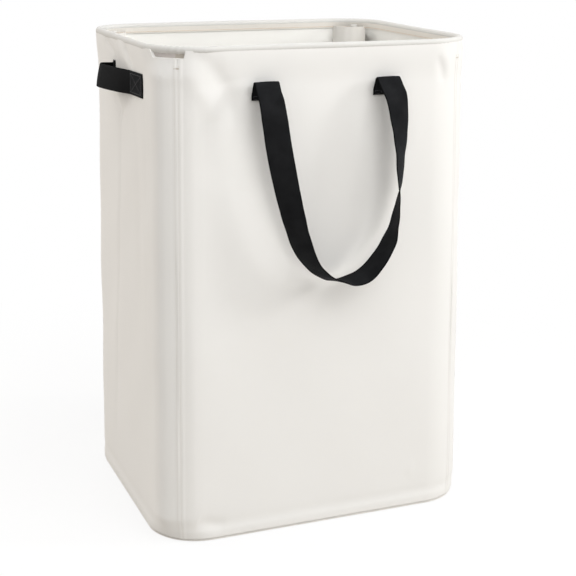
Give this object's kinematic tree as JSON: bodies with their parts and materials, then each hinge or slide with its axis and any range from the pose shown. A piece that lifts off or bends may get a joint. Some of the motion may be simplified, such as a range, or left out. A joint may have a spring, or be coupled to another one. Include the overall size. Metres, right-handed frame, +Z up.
{
  "type": "pop up laundry hamper",
  "caption": "Tall rounded-rectangular cloth laundry hamper with a wire rim, corner rods, a stiff base and black webbing straps and side handles, standing open.",
  "frame": {"origin": "centre of the bottom, on the floor", "axes": "+Z up, +X to the right seen from the front, -Y towards the viewer in front of a long strap"},
  "size_m": [0.4808, 0.4554, 0.64],
  "materials": {
    "white_cloth": "matt plain weave",
    "lining_cloth": "matt plain weave",
    "grip_tape": "matt loops",
    "black_webbing": "satin ribbed weave",
    "stiff_board": "matt",
    "spring_steel": "drawn wire",
    "rod_plastic": "matt",
    "cap_plastic": "matt"
  },
  "bodies": {
    "base": {"bottom_panel": "white_cloth", "base_board": "stiff_board", "front_panel": "white_cloth", "right_panel": "white_cloth", "back_panel": "white_cloth", "left_panel": "white_cloth", "front_left_rod_sleeve": "lining_cloth", "front_right_rod_sleeve": "lining_cloth", "back_right_rod_sleeve": "lining_cloth", "back_left_rod_sleeve": "lining_cloth"},
    "rim": {"rim_wire": "spring_steel", "rim_ferrule": "spring_steel", "rim_casing": "white_cloth", "front_left_mouth_tape": "grip_tape", "front_right_mouth_tape": "grip_tape", "back_right_mouth_tape": "grip_tape", "back_left_mouth_tape": "grip_tape", "front_strap_left_tab": "black_webbing", "front_strap_right_tab": "black_webbing", "rear_strap_left_tab": "black_webbing", "rear_strap_right_tab": "black_webbing", "left_handle_sewn_patch": "black_webbing", "left_handle_sewn_tail": "black_webbing", "right_handle_sewn_patch": "black_webbing", "right_handle_sewn_tail": "black_webbing"},
    "front_strap": {"front_strap_loop": "black_webbing"},
    "rear_strap": {"rear_strap_loop": "black_webbing"},
    "left_handle": {"left_handle_band": "black_webbing"},
    "right_handle": {"right_handle_band": "black_webbing"},
    "front_left_rod": {"front_left_rod_tube": "rod_plastic", "front_left_rod_bottom_cap": "cap_plastic", "front_left_rod_top_cap": "cap_plastic"},
    "front_right_rod": {"front_right_rod_tube": "rod_plastic", "front_right_rod_bottom_cap": "cap_plastic", "front_right_rod_top_cap": "cap_plastic"},
    "back_right_rod": {"back_right_rod_tube": "rod_plastic", "back_right_rod_bottom_cap": "cap_plastic", "back_right_rod_top_cap": "cap_plastic"},
    "back_left_rod": {"back_left_rod_tube": "rod_plastic", "back_left_rod_bottom_cap": "cap_plastic", "back_left_rod_top_cap": "cap_plastic"}
  },
  "joints": [
    {"name": "rim_drop", "type": "slide", "parent": "base", "child": "rim", "axis": [0, 0, 1], "range_m": [-0.55, 0], "deforming": ["front_panel", "right_panel", "back_panel", "left_panel", "front_left_rod_sleeve", "front_right_rod_sleeve", "back_right_rod_sleeve", "back_left_rod_sleeve"]},
    {"name": "front_left_rod_lift", "type": "slide", "parent": "base", "child": "front_left_rod", "axis": [0, 0, -1], "range_m": [-0.6, 0]},
    {"name": "front_right_rod_lift", "type": "slide", "parent": "base", "child": "front_right_rod", "axis": [0, 0, -1], "range_m": [-0.6, 0]},
    {"name": "back_right_rod_lift", "type": "slide", "parent": "base", "child": "back_right_rod", "axis": [0, 0, -1], "range_m": [-0.6, 0]},
    {"name": "back_left_rod_lift", "type": "slide", "parent": "base", "child": "back_left_rod", "axis": [0, 0, -1], "range_m": [-0.6, 0]},
    {"name": "front_strap_swing", "type": "hinge", "parent": "rim", "child": "front_strap", "pos_m": [0, -0.18826, 0.5928], "axis": [-1, 0, 0], "range_deg": [0, 120]},
    {"name": "rear_strap_swing", "type": "hinge", "parent": "rim", "child": "rear_strap", "pos_m": [0, 0.18826, 0.5928], "axis": [1, 0, 0], "range_deg": [0, 120]},
    {"name": "left_handle_swing", "type": "hinge", "parent": "rim", "child": "left_handle", "pos_m": [-0.21478, 0, 0.602], "axis": [0, 1, 0], "range_deg": [0, 65]},
    {"name": "right_handle_swing", "type": "hinge", "parent": "rim", "child": "right_handle", "pos_m": [0.21478, 0, 0.602], "axis": [0, -1, 0], "range_deg": [0, 65]}
  ]
}
